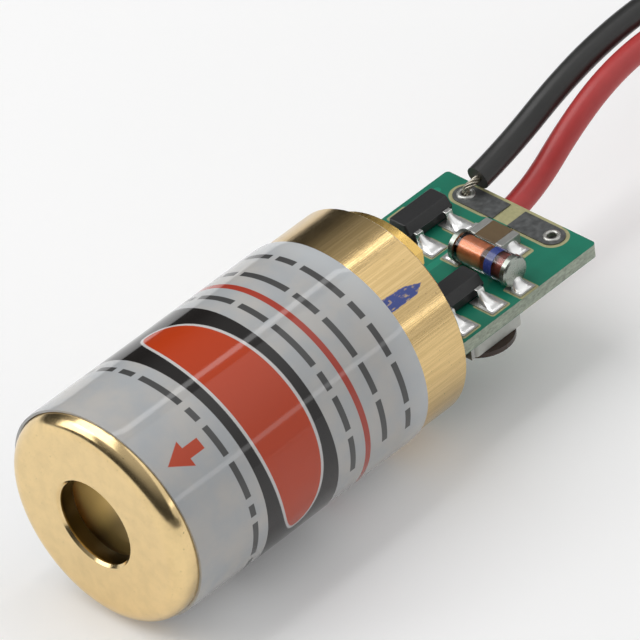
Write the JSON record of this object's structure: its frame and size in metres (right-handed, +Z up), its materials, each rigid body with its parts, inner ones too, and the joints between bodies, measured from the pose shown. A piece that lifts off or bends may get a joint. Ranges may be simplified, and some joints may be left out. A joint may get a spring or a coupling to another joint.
{
  "type": "laser diode module",
  "caption": "Round brass laser diode module with a wrapped label, a front aperture and lens, a driver board at the rear and two coiled supply leads.",
  "frame": {"origin": "centre of the housing's flat front face, on the optical axis", "axes": "the beam leaves along -Y, the driver board lies level behind the housing towards +Y, and +Z is up"},
  "size_m": [0.0176, 0.0696, 0.0108],
  "materials": {
    "brass": "turned brass, lightly polished",
    "label_film": "silver-grey printed film under a clear gloss layer",
    "lens_glass": "clear moulded optic",
    "spring_steel": "drawn spring wire",
    "gold_plate": "thin gold plating on steel",
    "diode_steel": "drawn nickel-plated can",
    "silicon": "bare chip",
    "seal_glass": "fused glass bead",
    "board_laminate": "green solder mask over glass-fibre laminate",
    "tinned_pad": "dull tinned copper foil",
    "tinned_lead": "matt tin plate",
    "black_moulding": "black moulding compound",
    "diode_glass": "clear glass envelope with a painted band",
    "copper": "oxidised copper-clad slug",
    "tinned_cap": "dull plated end cap",
    "brown_ceramic": "fired brown dielectric",
    "dark_ceramic": "glazed resistor film",
    "grey_ceramic": "pale grey ceramic",
    "brown_moulding": "glossy dark brown moulding",
    "solder": "bright reflowed solder",
    "black_insulation": "soft extruded insulation",
    "red_insulation": "soft extruded insulation",
    "tinned_wire": "tinned stranded copper",
    "tie_plastic": "thin plastic strip"
  },
  "bodies": {
    "root": {"housing": "brass", "label": "label_film", "lens": "lens_glass", "lens_spring": "spring_steel", "diode_holder": "brass", "diode_header": "gold_plate", "diode_can": "diode_steel", "diode_window": "lens_glass", "diode_submount": "silicon", "diode_chip": "silicon", "monitor_chip": "silicon", "diode_seals": "seal_glass", "diode_leads": "gold_plate", "driver_board": "board_laminate", "wire_pads": "tinned_pad", "component_pads": "tinned_pad", "left_transistor": "black_moulding", "right_transistor": "black_moulding", "left_transistor_leads": "tinned_lead", "right_transistor_leads": "tinned_lead", "glass_diode_tube": "diode_glass", "glass_diode_slugs": "copper", "glass_diode_caps": "tinned_cap", "capacitor": "brown_ceramic", "capacitor_ends": "tinned_lead", "resistors": "dark_ceramic", "resistor_ends": "tinned_lead", "trimmer_base": "grey_ceramic", "trimmer_rotor": "brown_moulding", "trimmer_tabs": "tinned_lead", "top_solder": "solder", "bottom_solder": "solder", "black_lead": "black_insulation", "red_lead": "red_insulation", "black_conductor": "tinned_wire", "red_conductor": "tinned_wire", "lead_coil": "black_insulation", "lead_tips": "tinned_wire", "coil_tie": "tie_plastic"}
  },
  "joints": []
}
